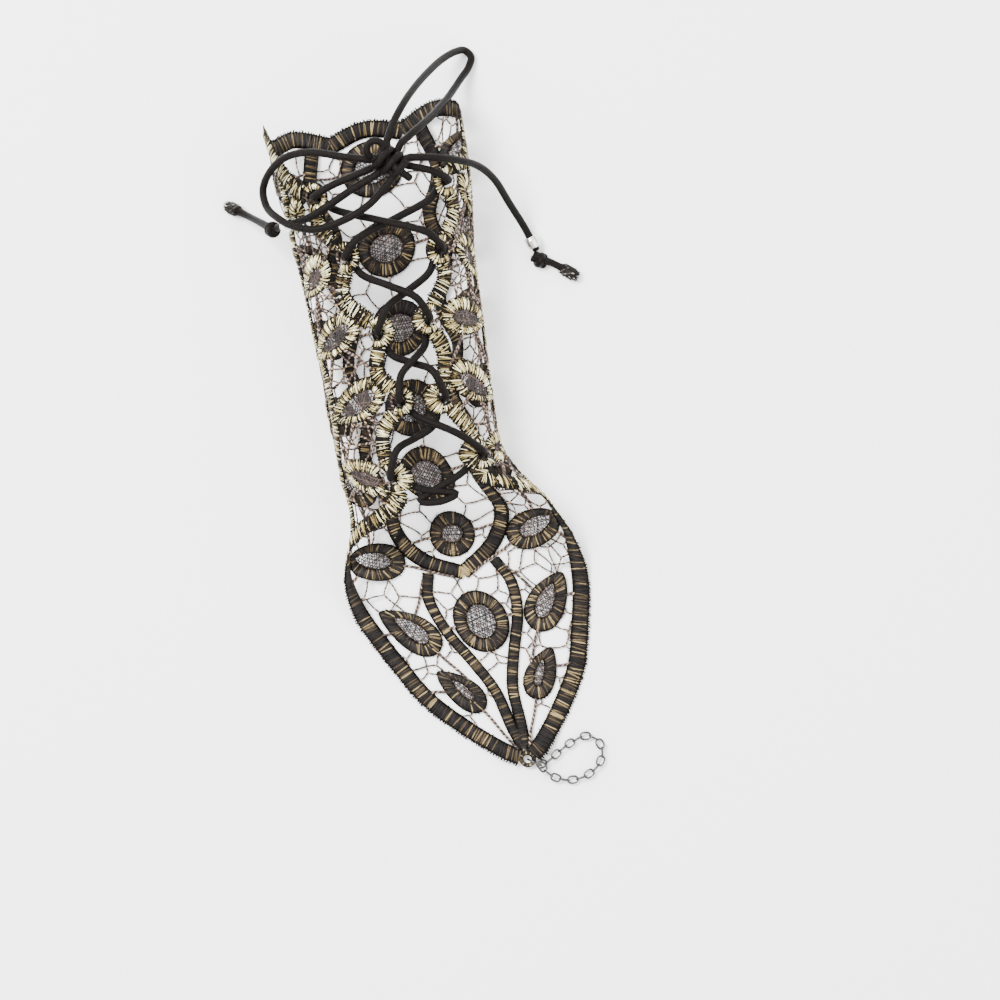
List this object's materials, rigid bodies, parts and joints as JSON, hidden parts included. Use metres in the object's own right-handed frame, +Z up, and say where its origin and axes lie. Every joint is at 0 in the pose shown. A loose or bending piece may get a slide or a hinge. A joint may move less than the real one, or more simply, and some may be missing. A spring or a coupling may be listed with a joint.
{
  "type": "lace cuff",
  "caption": "Pierced lace wrist cuff laced up the palm side with an elastic cord and bow, with a pointed hand panel and a finger chain.",
  "frame": {"origin": "middle of the rest patch on the back of the cuff, on the surface it lies on, at the palm hem", "axes": "+Y runs up the forearm from the hem, +Z points up out of the laced palm side, -Y runs down the hand panel to the finger chain, +X is the right-hand side seen from above with the forearm at the top"},
  "size_m": [0.1133, 0.2561, 0.0514],
  "materials": {
    "lace": "pale antique gold metallic satin stitch over black thread",
    "cord": "black braided round elastic with a soft sheen",
    "silver": "bright silver-plated bead",
    "chain": "gunmetal black plating"
  },
  "bodies": {
    "root": {"lace": "lace", "lacing_cord": "cord", "bow_knot": "cord", "bow_loop_left": "cord", "bow_loop_right": "cord", "tail_left": "cord", "tail_right": "cord", "tail_bead_left": "silver", "tail_bead_right": "silver", "end_knot_left": "cord", "end_knot_right": "cord", "jump_ring": "chain", "finger_chain": "chain"}
  },
  "joints": []
}
